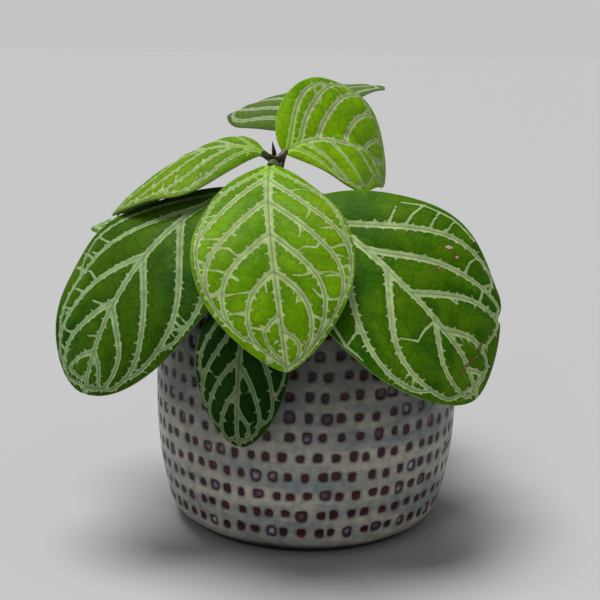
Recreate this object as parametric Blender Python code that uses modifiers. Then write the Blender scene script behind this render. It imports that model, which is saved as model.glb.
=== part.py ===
"""Potted chamaeranthemum: a dotted stoneware pot filled with soil, two leafy stems,
and a node for each broad leaf. Metres, +Z up, origin at the centre of the pot's foot."""
import math

import bmesh
import bpy
from mathutils import Vector, noise

MM = 0.001

# Driving sizes of the pot
POT_HEIGHT = 70 * MM
POT_RADIUS = 45 * MM
BELLY_HEIGHT = 41 * MM
RIM_RADIUS = 44.3 * MM
RIM_ROUND = 1.2 * MM
SHOULDER_HEIGHT = 8 * MM
SHOULDER_RADIUS = 41.6 * MM
FOOT_RADIUS = 35 * MM
WALL = 3.8 * MM
FLOOR = 5 * MM

# The dots stand in level rows; each is a small square pressed into the wall
DOTS_ROUND = 56
FIRST_DOT_ROW = 8.4 * MM
DOT_ROW_STEP = 5.73 * MM
DOT_ROWS = 11
DOT_BORDER = 1.15 * MM
DOT_DEPTH = 0.4 * MM
LOWEST_DOT_EDGE = FIRST_DOT_ROW - 0.5 * DOT_ROW_STEP

# Driving sizes of what grows in it
GAP = 0.3 * MM
SOIL_TOP = 60 * MM
SOIL_BUMP = 1.2 * MM
SOIL_RINGS = 5
SOIL_SIDES = 28
STEM_ROOT_DEPTH = 12 * MM
STEM_HOLE_CLEARANCE = 2 * GAP
STALK_CLEARANCE = 1.9 * GAP
BLADE = 0.7 * MM
STALK_RADIUS = 1.0 * MM
MIDRIB_TIP_RADIUS = 0.5 * MM
TIP_HALF_WIDTH = 0.5 * MM
STALK_STATIONS = 4
COLUMNS_PER_HALF = 4

# The main stem leans to the left as it rises; the side shoot stands behind it
MAIN_STEM = {"foot": (-3, 4), "top": (-10.5, 0), "height": 107.6, "radius": (1.9, 1.15)}
SIDE_SHOOT = {"foot": (13, 26), "top": (15, 30), "height": 76, "radius": (1.3, 0.9)}
STEM_STATIONS = 12

for old in list(bpy.data.objects):
    bpy.data.objects.remove(old)

plant = bpy.data.collections.new("potted_chamaeranthemum")
cutters = bpy.data.collections.new("cutters")
bpy.context.scene.collection.children.link(plant)
bpy.context.scene.collection.children.link(cutters)


def material(name, colour, roughness):
    made = bpy.data.materials.new(name)
    made.use_nodes = True
    made.diffuse_color = (*colour, 1)
    shader = made.node_tree.nodes["Principled BSDF"]
    shader.inputs["Base Color"].default_value = (*colour, 1)
    shader.inputs["Roughness"].default_value = roughness
    shader.inputs["Metallic"].default_value = 0
    return made


GLAZE = material("stoneware_glaze", (0.22, 0.23, 0.22), 0.3)
SOIL = material("potting_soil", (0.035, 0.022, 0.014), 0.95)
YOUNG_LEAF = material("young_leaf", (0.14, 0.33, 0.03), 0.45)
OLD_LEAF = material("old_leaf", (0.035, 0.14, 0.015), 0.45)
STEM = material("green_brown_stem", (0.1, 0.09, 0.03), 0.6)
BUD = material("dark_bud", (0.05, 0.035, 0.02), 0.6)


def place(name, mesh, finish, smooth_degrees=40):
    """One named object of the plant, from a mesh in world coordinates."""
    piece = bpy.data.objects.new(name, mesh)
    plant.objects.link(piece)
    mesh.materials.clear()
    mesh.materials.append(finish)
    mesh.shade_smooth()
    mesh.set_sharp_from_angle(angle=math.radians(smooth_degrees))
    return piece


def move_to(piece, collection):
    for owner in list(piece.users_collection):
        owner.objects.unlink(piece)
    collection.objects.link(piece)


# Pot: one turned shell with a flat underside
def wall_radius(z):
    """Outer radius: a tight curve out of the foot, widest below the middle, then almost straight."""
    if z < SHOULDER_HEIGHT:
        rise = z / SHOULDER_HEIGHT
        return FOOT_RADIUS + (SHOULDER_RADIUS - FOOT_RADIUS) * math.sin(rise * math.pi / 2) ** 0.8
    if z < BELLY_HEIGHT:
        below = (BELLY_HEIGHT - z) / (BELLY_HEIGHT - SHOULDER_HEIGHT)
        return POT_RADIUS - (POT_RADIUS - SHOULDER_RADIUS) * below ** 2.6
    return POT_RADIUS - (POT_RADIUS - RIM_RADIUS) * (z - BELLY_HEIGHT) / (POT_HEIGHT - BELLY_HEIGHT)


def inner_profile():
    """The inside of the wall from the floor's edge up to just under the rim."""
    return [
        (FOOT_RADIUS - WALL, FLOOR),
        (POT_RADIUS - WALL - 2 * MM, FLOOR + 6 * MM),
        (POT_RADIUS - WALL, 0.45 * POT_HEIGHT),
    ]


def pot_profile():
    """From the middle of the floor up the inside, over the rim, down the outside and under the foot."""
    dot_band_edges = [LOWEST_DOT_EDGE + row * DOT_ROW_STEP for row in range(DOT_ROWS + 1)]
    heights = [0.4 * MM, 2 * MM] + dot_band_edges + [POT_HEIGHT - RIM_ROUND]
    inside = [(0.0, FLOOR)] + inner_profile() + [(RIM_RADIUS - WALL, POT_HEIGHT - RIM_ROUND)]
    rim = [(RIM_RADIUS - WALL + RIM_ROUND, POT_HEIGHT), (RIM_RADIUS - RIM_ROUND, POT_HEIGHT)]
    outside = [(wall_radius(z), z) for z in reversed(heights)]
    foot = [(FOOT_RADIUS - 0.4 * MM, 0.0), (0.0, 0.0)]
    return inside + rim + outside + foot


def turned(name, points, sides):
    """A profile that starts and ends on the axis, turned once round +Z into a closed shape."""
    mesh = bpy.data.meshes.new(name)
    edges = [(i, i + 1) for i in range(len(points) - 1)]
    mesh.from_pydata([(r, 0, z) for r, z in points], edges, [])
    piece = bpy.data.objects.new(name, mesh)
    cutters.objects.link(piece)
    screw = piece.modifiers.new("turn", "SCREW")
    screw.steps = screw.render_steps = sides
    screw.use_merge_vertices = True
    screw.merge_threshold = 0.01 * MM
    done = bpy.data.meshes.new_from_object(piece.evaluated_get(bpy.context.evaluated_depsgraph_get()))
    bpy.data.objects.remove(piece)
    shape = bmesh.new()
    shape.from_mesh(done)
    bmesh.ops.remove_doubles(shape, verts=shape.verts, dist=0.01 * MM)
    bmesh.ops.recalc_face_normals(shape, faces=shape.faces)
    return shape, done


def make_pot():
    shape, mesh = turned("pot", pot_profile(), DOTS_ROUND)
    highest_dot_edge = LOWEST_DOT_EDGE + DOT_ROWS * DOT_ROW_STEP
    dotted = []
    for face in shape.faces:
        centre = face.calc_center_median()
        outward = face.normal.xy.dot(centre.xy) > 0
        if outward and LOWEST_DOT_EDGE < centre.z < highest_dot_edge:
            dotted.append(face)
    bmesh.ops.inset_individual(shape, faces=dotted, thickness=DOT_BORDER, depth=-DOT_DEPTH)
    bmesh.ops.triangulate(shape, faces=shape.faces)
    shape.to_mesh(mesh)
    shape.free()
    place("pot", mesh, GLAZE, 25)


# Stems
def stem_point(stem, height):
    """Point on a stem's axis at a height in millimetres above the table."""
    rise = (height - SOIL_TOP / MM) / (stem["height"] - SOIL_TOP / MM)
    bow = math.sin(max(0.0, rise) * math.pi) * 1.2
    x = stem["foot"][0] + (stem["top"][0] - stem["foot"][0]) * rise
    y = stem["foot"][1] + (stem["top"][1] - stem["foot"][1]) * rise + bow
    return Vector((x, y, height)) * MM


def stem_radius(stem, height):
    rise = max(0.0, (height - SOIL_TOP / MM) / (stem["height"] - SOIL_TOP / MM))
    low, high = stem["radius"]
    return (low + (high - low) * rise) * MM


def make_stem(name, stem):
    curve = bpy.data.curves.new(name, "CURVE")
    curve.dimensions = "3D"
    curve.bevel_depth = 1
    curve.bevel_resolution = 2
    curve.use_fill_caps = True
    spline = curve.splines.new("POLY")
    spline.points.add(STEM_STATIONS - 1)
    lowest = (SOIL_TOP - STEM_ROOT_DEPTH) / MM
    for i, point in enumerate(spline.points):
        height = lowest + (stem["height"] - lowest) * i / (STEM_STATIONS - 1)
        point.co = (*stem_point(stem, height), 1)
        point.radius = stem_radius(stem, height)
    piece = bpy.data.objects.new(name, curve)
    curve.materials.append(STEM)
    plant.objects.link(piece)


def make_bud(name, stem, length, radius):
    """A small pointed bud on a stem's top, its scales drawn in to a point."""
    bpy.ops.mesh.primitive_cone_add(vertices=8, radius1=radius * MM, radius2=0.15 * MM, depth=length * MM)
    bud = bpy.context.object
    bud.name = name
    foot = stem_point(stem, stem["height"])
    lean = (foot - stem_point(stem, stem["height"] - 1)).normalized()
    bud.rotation_mode = "QUATERNION"
    bud.rotation_quaternion = lean.to_track_quat("Z", "Y")
    bud.location = foot + lean * (GAP + length * MM / 2)
    move_to(bud, plant)
    bud.data.materials.append(BUD)


# Soil: a plug that fills the pot, bumpy on top, with a plain hole for each stem
def make_soil():
    clearance = 1.6 * GAP
    reach = RIM_RADIUS - WALL - clearance
    lumps_per_metre = 90
    profile = [(reach * ring / SOIL_RINGS, SOIL_TOP) for ring in range(SOIL_RINGS + 1)]
    profile += [(r - clearance, max(z, FLOOR + GAP)) for r, z in reversed(inner_profile())]
    profile.append((0.0, FLOOR + GAP))
    shape, mesh = turned("soil", profile, SOIL_SIDES)
    for vertex in shape.verts:
        if vertex.co.z > SOIL_TOP - 1 * MM:
            calm = 1 - (vertex.co.xy.length / reach) ** 6
            vertex.co.z += SOIL_BUMP * calm * noise.noise(vertex.co * lumps_per_metre)
    bmesh.ops.triangulate(shape, faces=shape.faces)
    shape.to_mesh(mesh)
    shape.free()
    soil = place("soil", mesh, SOIL, 50)
    for name, stem in (("main_stem_hole", MAIN_STEM), ("side_shoot_hole", SIDE_SHOOT)):
        bpy.ops.mesh.primitive_cylinder_add(vertices=16, radius=1, depth=1)
        hole = bpy.context.object
        hole.name = name
        foot = stem_point(stem, (SOIL_TOP - STEM_ROOT_DEPTH) / MM)
        crown = stem_point(stem, (SOIL_TOP + 2 * SOIL_BUMP) / MM)
        lean = (crown - foot).normalized()
        start = foot - lean * GAP
        end = crown + lean * SOIL_BUMP
        width = stem_radius(stem, SOIL_TOP / MM) + STEM_HOLE_CLEARANCE
        hole.scale = (width, width, (end - start).length)
        hole.location = (start + end) / 2
        hole.rotation_mode = "QUATERNION"
        hole.rotation_quaternion = lean.to_track_quat("Z", "Y")
        move_to(hole, cutters)
        hole.hide_render = True
        hole.display_type = "WIRE"
        cut = soil.modifiers.new(name, "BOOLEAN")
        cut.operation = "DIFFERENCE"
        cut.object = hole
        cut.solver = "EXACT"


# Leaves: a round stalk lofted into a thin arched blade with a midrib under it
def half_width(leaf, t):
    """Half of the blade's width: an oval, widest at leaf["peak"], blunt or pointed by its powers."""
    swell = math.sin(math.pi * t ** (math.log(0.5) / math.log(leaf["peak"])))
    power = leaf["base_power"] if t < leaf["peak"] else leaf["tip_power"]
    return leaf["width"] / 2 * MM * max(0.0, swell) ** power


def level_direction(degrees):
    return Vector((math.cos(math.radians(degrees)), math.sin(math.radians(degrees)), 0))


def midrib_direction(leaf, t):
    """Unit vector along the midrib, which turns and droops on its way to the tip."""
    spring = leaf["spring"] * (1 - t) ** 8
    climb = math.radians(leaf["climb"] + spring - leaf["droop"] * t - leaf["curl"] * t ** 3)
    ahead = level_direction(leaf["heading"] + leaf["turn"] * t)
    return ahead * math.cos(climb) + Vector((0, 0, math.sin(climb)))


def blade_frame(leaf, t):
    """At a share t of the blade's length: midrib point, its direction, the blade's left, its upper side."""
    steps = 60
    point = Vector(leaf["base"]) * MM
    for step in range(steps):
        point += midrib_direction(leaf, t * (step + 0.5) / steps) * leaf["length"] * MM * t / steps
    along = midrib_direction(leaf, t)
    level = level_direction(leaf["heading"] + leaf["turn"] * t + 90)
    roll = math.radians(leaf["roll"] + leaf["twist"] * t)
    side = level * math.cos(roll) + along.cross(level) * math.sin(roll)
    return point, along, side, along.cross(side)


def across(shares):
    """Signed shares of the half width, from the right margin over the midrib to the left margin."""
    return [-share for share in shares[:0:-1]] + shares


def blade_section(leaf, t):
    """Upper and lower points across the blade, which is folded at the midrib and arched to its margins."""
    middle, _, side, upper = blade_frame(leaf, t)
    widest = max(half_width(leaf, t), TIP_HALF_WIDTH)
    rib = STALK_RADIUS + (MIDRIB_TIP_RADIUS - STALK_RADIUS) * t
    rib_edge = min(rib / widest, 0.5)
    outer = [rib_edge + (1 - rib_edge) * i / (COLUMNS_PER_HALF - 1) for i in range(COLUMNS_PER_HALF)]
    fold = math.radians(leaf["fold"])
    camber = math.radians(leaf["camber"])
    section = []
    for share in across([0] + outer):
        sign = math.copysign(1, share)
        half = widest * (leaf["left_reach"] if share > 0 else leaf["right_reach"])
        slope = fold - camber * abs(share)
        out = half * (math.sin(fold) - math.sin(slope)) / camber
        lift = half * (math.cos(slope) - math.cos(fold)) / camber
        ripple = math.sin(math.tau * (leaf["waves"] * t + leaf["phase"] + 0.2 * sign))
        lift += leaf["wave"] * MM * share ** 2 * ripple * math.sin(math.pi * t)
        point = middle + side * sign * out + upper * lift
        normal = upper * math.cos(slope) - side * sign * math.sin(slope)
        below = BLADE / 2 if share else max(BLADE / 2, rib)
        section.append((point + normal * BLADE / 2, point - normal * below))
    return section


def stalk_sections(leaf, start):
    """Round sections along a curve from the stem's side to the blade's base."""
    end, along, side, _ = blade_frame(leaf, 0)
    out = level_direction(leaf["stalk_heading"])
    pull = (end - start).length * 0.4
    first = start + (out + Vector((0, 0, leaf["stalk_rise"]))).normalized() * pull
    second = end - along * pull
    widest_turn = math.radians(66)
    sections = []
    for i in range(STALK_STATIONS):
        s = i / STALK_STATIONS
        r = 1 - s
        middle = start * r ** 3 + first * 3 * s * r ** 2 + second * 3 * s ** 2 * r + end * s ** 3
        heading = (first - start) * r ** 2 + (second - first) * 2 * s * r + (end - second) * s ** 2
        heading = out if i == 0 else heading.normalized()
        level = (side - heading * side.dot(heading)).normalized()
        upper = heading.cross(level) * STALK_RADIUS
        section = []
        for share in across([0, 0.2, 0.5, 0.78, 1]):
            point = middle + level * STALK_RADIUS * math.sin(share * widest_turn)
            height = math.cos(share * widest_turn)
            section.append((point + upper * height, point - upper * height))
        sections.append(section)
    return sections


def loft(name, sections, finish):
    """A closed body through the sections, its two faces split into triangles alike."""
    shape = bmesh.new()
    rows = [[(shape.verts.new(top), shape.verts.new(low)) for top, low in section] for section in sections]
    for near, far in zip(rows, rows[1:]):
        for i in range(len(near) - 1):
            a, b, c, d = near[i], near[i + 1], far[i + 1], far[i]
            corners = ((a, b, c), (a, c, d)) if i < len(near) // 2 else ((a, b, d), (b, c, d))
            for one, two, three in corners:
                shape.faces.new((one[0], two[0], three[0]))
                shape.faces.new((three[1], two[1], one[1]))
        for edge in (0, -1):
            shape.faces.new((near[edge][0], far[edge][0], far[edge][1]))
            shape.faces.new((near[edge][0], far[edge][1], near[edge][1]))
    for row in (rows[0], rows[-1]):
        for i in range(len(row) - 1):
            shape.faces.new((row[i][0], row[i + 1][0], row[i + 1][1]))
            shape.faces.new((row[i][0], row[i + 1][1], row[i][1]))
    bmesh.ops.recalc_face_normals(shape, faces=shape.faces)
    mesh = bpy.data.meshes.new(name)
    shape.to_mesh(mesh)
    shape.free()
    place(name, mesh, finish, 60)


LEAF_HABIT = {
    "turn": 0, "curl": 0, "spring": 0, "roll": 0, "twist": 0, "fold": 6, "camber": 18, "peak": 0.5,
    "base_power": 0.75, "tip_power": 0.68, "wave": 0.7, "waves": 2.5, "phase": 0.0,
    "stalk_rise": 0.3, "stations": 13, "left_reach": 1.0, "right_reach": 1.0,
}


def make_leaf(name, stem, node_height, finish, **form):
    """A leaf on a stem's node, lengths in millimetres and angles in degrees."""
    leaf = {**LEAF_HABIT, **form}
    leaf.setdefault("stalk_heading", leaf["heading"])
    start = stem_point(stem, node_height)
    start += level_direction(leaf["stalk_heading"]) * (stem_radius(stem, node_height) + STALK_CLEARANCE)
    count = leaf["stations"]
    stations = [0.5 - 0.5 * math.cos(math.pi * (i + 0.5) / (count - 0.5)) for i in range(count)]
    loft(name, stalk_sections(leaf, start) + [blade_section(leaf, t) for t in stations], finish)


def make_leaves():
    make_leaf(
        "leaf_top_front", MAIN_STEM, 105, YOUNG_LEAF, base=(-11.3, -12.8, 106.6), heading=-92, climb=-13,
        turn=23, droop=69, curl=-14, length=70, width=43.3, roll=1.5, twist=7, fold=5, camber=18.5,
        peak=0.54, base_power=0.68, tip_power=0.71, phase=0.1,
    )
    make_leaf(
        "leaf_top_left", MAIN_STEM, 107, YOUNG_LEAF, base=(-13, -4.9, 108.6), heading=171, climb=9,
        spring=20, turn=-16, droop=81, curl=-26, length=55, width=49, roll=-24, twist=25, fold=-2,
        camber=24, peak=0.47, base_power=1.04, tip_power=0.59, wave=0.3, phase=0.6, left_reach=0.9,
        stalk_heading=180,
    )
    make_leaf(
        "leaf_top_right", MAIN_STEM, 107, YOUNG_LEAF, base=(-8, 1.6, 108.4), heading=32, climb=38,
        turn=10, droop=112, length=47.5, width=43, roll=48, twist=9, fold=10, camber=13, peak=0.49,
        base_power=0.7, tip_power=0.71, phase=0.3, left_reach=0.95, stalk_heading=0,
    )
    make_leaf(
        "leaf_top_back", MAIN_STEM, 101.5, OLD_LEAF, base=(-5.8, 23, 113), heading=83, climb=39,
        turn=3, droop=74, curl=-12, length=61, width=54, roll=-19, twist=13, fold=2, camber=20, peak=0.48,
        base_power=0.83, tip_power=0.67, phase=0.8, stalk_heading=75, stalk_rise=2.5,
    )
    make_leaf(
        "leaf_middle_left", MAIN_STEM, 97, OLD_LEAF, base=(-18.2, -6.5, 99.2), heading=219, climb=-8,
        droop=74, curl=-3, length=80, width=52, roll=-14, twist=-4, fold=-1, camber=21.5, peak=0.51,
        base_power=0.79, tip_power=0.44, phase=0.4,
    )
    make_leaf(
        "leaf_middle_right", MAIN_STEM, 93, OLD_LEAF, base=(-4, -12.5, 95.4), heading=-40, climb=-4,
        turn=31, droop=83, curl=-19, length=79, width=60, roll=31, twist=2.5, fold=8, camber=17, peak=0.56,
        base_power=0.66, tip_power=0.56, phase=0.9, left_reach=0.91, stalk_heading=-60,
    )
    make_leaf(
        "leaf_low_front", MAIN_STEM, 80, OLD_LEAF, base=(-13.7, -22.4, 83.1), heading=-96, climb=-17,
        droop=79, curl=4, length=60, width=25.5, roll=3, twist=-2, fold=4, camber=9.5, peak=0.58,
        base_power=1.0, tip_power=0.59, wave=0.4, stalk_heading=-90,
    )
    make_leaf(
        "leaf_low_back", MAIN_STEM, 80, OLD_LEAF, base=(-9, 18, 82), heading=96, climb=12,
        turn=-8, droop=92, length=62, width=43, roll=6, fold=8, camber=20, peak=0.52, phase=0.2,
        stalk_heading=95,
    )
    make_leaf(
        "leaf_low_left", MAIN_STEM, 84, OLD_LEAF, base=(-17, 10, 85), heading=160, climb=14,
        droop=36, length=56, width=36, roll=-6, fold=6, camber=20, peak=0.52, tip_power=0.5,
        phase=0.5, stalk_heading=150,
    )
    make_leaf(
        "leaf_low_right", MAIN_STEM, 84, OLD_LEAF, base=(5, 6, 82.5), heading=2, climb=14,
        turn=-6, droop=74, length=58, width=37, roll=4, fold=6, camber=20, peak=0.52, phase=0.7,
        stalk_heading=20,
    )
    make_leaf(
        "shoot_leaf_right", SIDE_SHOOT, 74.5, YOUNG_LEAF, base=(18.5, 30.5, 77.5), heading=20, climb=50,
        turn=10, droop=60, length=25, width=15, phase=0.2, wave=0.3, stations=9,
    )
    make_leaf(
        "shoot_leaf_left", SIDE_SHOOT, 74.5, YOUNG_LEAF, base=(13, 34, 77.5), heading=140, climb=62,
        turn=-15, droop=50, length=23, width=14, phase=0.6, wave=0.3, stations=9,
    )
    make_leaf(
        "shoot_leaf_back", SIDE_SHOOT, 69, OLD_LEAF, base=(18.5, 37.5, 74), heading=62, climb=14,
        turn=6, droop=85, length=42, width=30, phase=0.4, stations=9,
    )


make_pot()
make_soil()
make_stem("main_stem", MAIN_STEM)
make_stem("side_shoot", SIDE_SHOOT)
make_bud("tip_bud", MAIN_STEM, 4.2, 0.8)
make_bud("side_bud", SIDE_SHOOT, 3.5, 0.7)
make_leaves()
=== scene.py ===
import math
import random

import bpy
import numpy as np
from mathutils import Matrix, Vector


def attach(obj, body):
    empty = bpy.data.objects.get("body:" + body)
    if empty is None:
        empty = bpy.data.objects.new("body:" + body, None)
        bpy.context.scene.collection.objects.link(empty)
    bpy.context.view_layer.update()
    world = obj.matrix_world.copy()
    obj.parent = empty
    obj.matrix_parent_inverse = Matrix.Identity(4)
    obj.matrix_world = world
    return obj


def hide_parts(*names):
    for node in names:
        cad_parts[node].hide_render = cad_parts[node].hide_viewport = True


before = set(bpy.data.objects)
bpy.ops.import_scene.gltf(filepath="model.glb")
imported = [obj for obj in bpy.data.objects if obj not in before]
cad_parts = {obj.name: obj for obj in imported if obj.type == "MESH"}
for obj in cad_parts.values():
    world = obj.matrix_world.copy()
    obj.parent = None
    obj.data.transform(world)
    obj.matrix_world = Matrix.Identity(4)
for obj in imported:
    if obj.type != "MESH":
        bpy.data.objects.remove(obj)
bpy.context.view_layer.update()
bpy.ops.object.select_all(action="DESELECT")


# The pot is thrown stoneware under a mottled grey-green glaze, on an unglazed dark foot; painted shade
# darkens its upper wall and painted contact shadow its foot.
# Rows of small dots were pressed into the wall before glazing: dark red-brown pools,
# the wider ones milky in the middle where the glaze lies thick.
POT_HEIGHT = 0.070
POT_RADIUS = 0.045
BELLY_HEIGHT = 0.041
SHOULDER_HEIGHT = 0.008
SHOULDER_RADIUS = 0.0416
RIM_RADIUS = 0.0443
RIM_ROUND = 0.0012
RIM_STEPS = 10
FOOT_RADIUS = 0.035
FOOT_EDGE = 0.0004
POT_WALL = 0.0038
POT_FLOOR = 0.005
WALL_COLUMNS = 528
WALL_STEP = 0.0005
SAME_POINT = 0.000002
DOT_DEPTH = 0.0004
DOT_SLOPE = 0.0008
DOT_WINDOW = 7
FAR_FROM_DOTS = 0.003
FIRST_DOT_ROW = 0.0084
DOT_ROW_STEP = 0.00573
DOT_ROWS = 11
DOTS_IN_A_ROW = (56, 57, 58, 60, 61)
SMALL_DOT = (0.00112, 0.00138)
WIDE_DOT = (0.00145, 0.00175)
WIDE_DOT_SHARE = 0.17
DOT_STRETCH = (0.86, 1.06)
DOT_STRAY_ROUND = 0.16
DOT_STRAY_UP = 0.00018


def wall_radius(z):
    if z < SHOULDER_HEIGHT:
        rise = z / SHOULDER_HEIGHT
        return FOOT_RADIUS + (SHOULDER_RADIUS - FOOT_RADIUS) * math.sin(rise * math.pi / 2) ** 0.8
    if z < BELLY_HEIGHT:
        below = (BELLY_HEIGHT - z) / (BELLY_HEIGHT - SHOULDER_HEIGHT)
        return POT_RADIUS - (POT_RADIUS - SHOULDER_RADIUS) * below ** 2.6
    return POT_RADIUS - (POT_RADIUS - RIM_RADIUS) * (z - BELLY_HEIGHT) / (POT_HEIGHT - BELLY_HEIGHT)


def pot_outline():
    """From under the middle of the foot, up the outside, over the rim, down to the middle of the floor."""
    outline = [(0, 0), (0.012, 0), (0.024, 0), (0.031, 0)]
    outline += [(FOOT_RADIUS - 0.0010, 0), (FOOT_RADIUS - FOOT_EDGE, 0.0001)]
    top = POT_HEIGHT - RIM_ROUND
    wall_rows = round((top - FOOT_EDGE) / WALL_STEP)
    first_wall_row = len(outline)
    for row in range(wall_rows + 1):
        z = FOOT_EDGE + (top - FOOT_EDGE) * row / wall_rows
        outline.append((wall_radius(z), z))
    last_wall_row = len(outline) - 1
    half = POT_WALL / 2
    for step in range(1, RIM_STEPS):
        turn = math.pi * step / RIM_STEPS
        outline.append((RIM_RADIUS - half + half * math.cos(turn), top + RIM_ROUND * math.sin(turn)))
    outline += [(RIM_RADIUS - POT_WALL, top - RIM_ROUND * step) for step in range(10)]
    outline.append((POT_RADIUS - POT_WALL, 0.45 * POT_HEIGHT))
    outline.append((POT_RADIUS - POT_WALL - 0.002, POT_FLOOR + 0.006))
    outline += [(FOOT_RADIUS - POT_WALL, POT_FLOOR), (0.015, POT_FLOOR), (0, POT_FLOOR)]
    return outline, first_wall_row, last_wall_row


def pressed_dots():
    """Angle, height, radius and stretch of every dot, set by eye and so a little uneven."""
    draw = random.Random(11)
    dots = []
    for row in range(DOT_ROWS):
        height = FIRST_DOT_ROW + DOT_ROW_STEP * row
        count = draw.choice(DOTS_IN_A_ROW)
        turn = draw.random()
        for place in range(count):
            angle = math.tau * (place + turn + draw.uniform(-DOT_STRAY_ROUND, DOT_STRAY_ROUND)) / count
            wide = draw.random() < WIDE_DOT_SHARE
            radius = draw.uniform(*(WIDE_DOT if wide else SMALL_DOT))
            z = height + draw.gauss(0, DOT_STRAY_UP)
            dots.append((angle, z, radius, draw.uniform(*DOT_STRETCH), wide))
    return dots


def keep(piece, label, values):
    """Keeps one number on every point of a piece, for its material to read."""
    layer = piece.data.attributes.new(label, "FLOAT", "POINT")
    layer.data.foreach_set("value", np.asarray(values, float).reshape(-1))


def throw_pot():
    outline, low_row, high_row = pot_outline()
    rows, columns = len(outline), WALL_COLUMNS + 1
    bpy.ops.mesh.primitive_grid_add(x_subdivisions=WALL_COLUMNS, y_subdivisions=rows - 1, size=1)
    pot = bpy.context.object
    pot.name = "glazed_pot"
    radius = np.repeat(np.array([r for r, _ in outline])[:, None], columns, 1)
    height = np.repeat(np.array([z for _, z in outline])[:, None], columns, 1)
    angle = np.repeat((np.arange(columns) / WALL_COLUMNS * math.tau)[None], rows, 0)
    edge = np.full((rows, columns), FAR_FROM_DOTS)
    milk = np.zeros((rows, columns))
    for turn, z, size, stretch, wide in pressed_dots():
        row = np.abs(height[low_row:high_row, 0] - z).argmin() + low_row
        column = int(turn / math.tau * WALL_COLUMNS)
        near_rows = np.arange(max(low_row, row - DOT_WINDOW), min(high_row, row + DOT_WINDOW + 1))
        near_columns = np.arange(column - DOT_WINDOW, column + DOT_WINDOW + 2) % WALL_COLUMNS
        picked = np.ix_(near_rows, near_columns)
        across = (angle[picked] - turn + math.pi) % math.tau - math.pi
        across = across * radius[picked] / stretch
        up = (height[picked] - z) * stretch
        uneven = 1 + 0.05 * np.sin(3 * np.arctan2(up, across) + turn * 40)
        distance = (np.abs(across) ** 3 + np.abs(up) ** 3) ** (1 / 3) - size * uneven
        edge[picked] = np.minimum(edge[picked], distance)
        if wide:
            milk[picked] = np.maximum(milk[picked], np.clip(-distance / size * 1.5 - 0.40, 0, 1))
    edge[:, -1] = edge[:, 0]
    milk[:, -1] = milk[:, 0]
    sunk = np.clip(0.5 - edge / DOT_SLOPE, 0, 1)
    radius = radius - DOT_DEPTH * sunk * sunk * (3 - 2 * sunk)
    turn = angle + math.pi / 2
    place = np.stack([radius * np.cos(turn), radius * np.sin(turn), height], -1)
    pot.data.vertices.foreach_set("co", place.reshape(-1).astype(np.float32))
    keep(pot, "dot_edge", edge * 1000)
    keep(pot, "milk", milk)
    bpy.ops.object.mode_set(mode="EDIT")
    bpy.ops.mesh.select_all(action="SELECT")
    bpy.ops.mesh.remove_doubles(threshold=SAME_POINT)
    bpy.ops.object.mode_set(mode="OBJECT")
    bpy.ops.object.shade_smooth()
    return pot


def tuned(tree, made, **inputs):
    """Sets a shader node's inputs and fields: an output socket is linked, anything else is a value."""
    for name, value in inputs.items():
        if name[0].islower():
            setattr(made, name, value)
            continue
        key = int(name[2:]) if name.startswith("In") else name.replace("_", " ")
        if isinstance(value, bpy.types.NodeSocket):
            tree.links.new(value, made.inputs[key])
        else:
            made.inputs[key].default_value = value
    return made


def node(tree, kind, **inputs):
    return tuned(tree, tree.nodes.new(kind), **inputs)


def mixed(tree, share, first, second, blend="MIX"):
    """Two colours mixed by a share; either may be a plain colour or come from a pattern."""
    low, high = (
        colour if isinstance(colour, bpy.types.NodeSocket) else (*colour, 1) for colour in (first, second)
    )
    return node(
        tree, "ShaderNodeMix", data_type="RGBA", blend_type=blend, In0=share, In6=low, In7=high,
    ).outputs[2]


def ramped(tree, value, low, high, to_low=0.0, to_high=1.0):
    """A smooth slope from one number at low to another at high, level on both sides."""
    return node(
        tree, "ShaderNodeMapRange", interpolation_type="SMOOTHSTEP", Value=value,
        In1=low, In2=high, In3=to_low, In4=to_high,
    ).outputs[0]


def sum_of(tree, first, second, operation="ADD"):
    return node(tree, "ShaderNodeMath", operation=operation, In0=first, In1=second).outputs[0]


def times(tree, first, second):
    return sum_of(tree, first, second, "MULTIPLY")


def mottle(tree, place, scale, detail=3, roughness=0.55):
    return node(
        tree, "ShaderNodeTexNoise", Vector=place, Scale=scale, Detail=detail, Roughness=roughness,
    ).outputs["Fac"]


def wavering(tree, place, scale, detail, size):
    """Noise on both sides of zero, size times as strong as plain noise."""
    return times(tree, sum_of(tree, mottle(tree, place, scale, detail), 0.5, "SUBTRACT"), size)


def kept(tree, label):
    """The numbers that keep() left on the points."""
    return node(tree, "ShaderNodeAttribute", attribute_name=label).outputs["Fac"]


def shade(colour, share):
    return tuple(min(1, share * value) for value in colour)


def finish(name, roughness, specular):
    """An empty material: its tree, its shader, and Object coordinates to hang patterns on."""
    made = bpy.data.materials.new(name)
    made.use_nodes = True
    tree = made.node_tree
    shader = tuned(tree, tree.nodes["Principled BSDF"], Roughness=roughness, Specular_IOR_Level=specular)
    place = node(tree, "ShaderNodeTexCoord").outputs["Object"]
    return made, tree, shader, place


def coated(tree, shader, colour, relief, strength, depth):
    """Gives the shader its colour and a fine relief."""
    bump = node(tree, "ShaderNodeBump", Height=relief, Strength=strength, Distance=depth)
    tuned(tree, shader, Base_Color=colour, Normal=bump.outputs[0])


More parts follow.
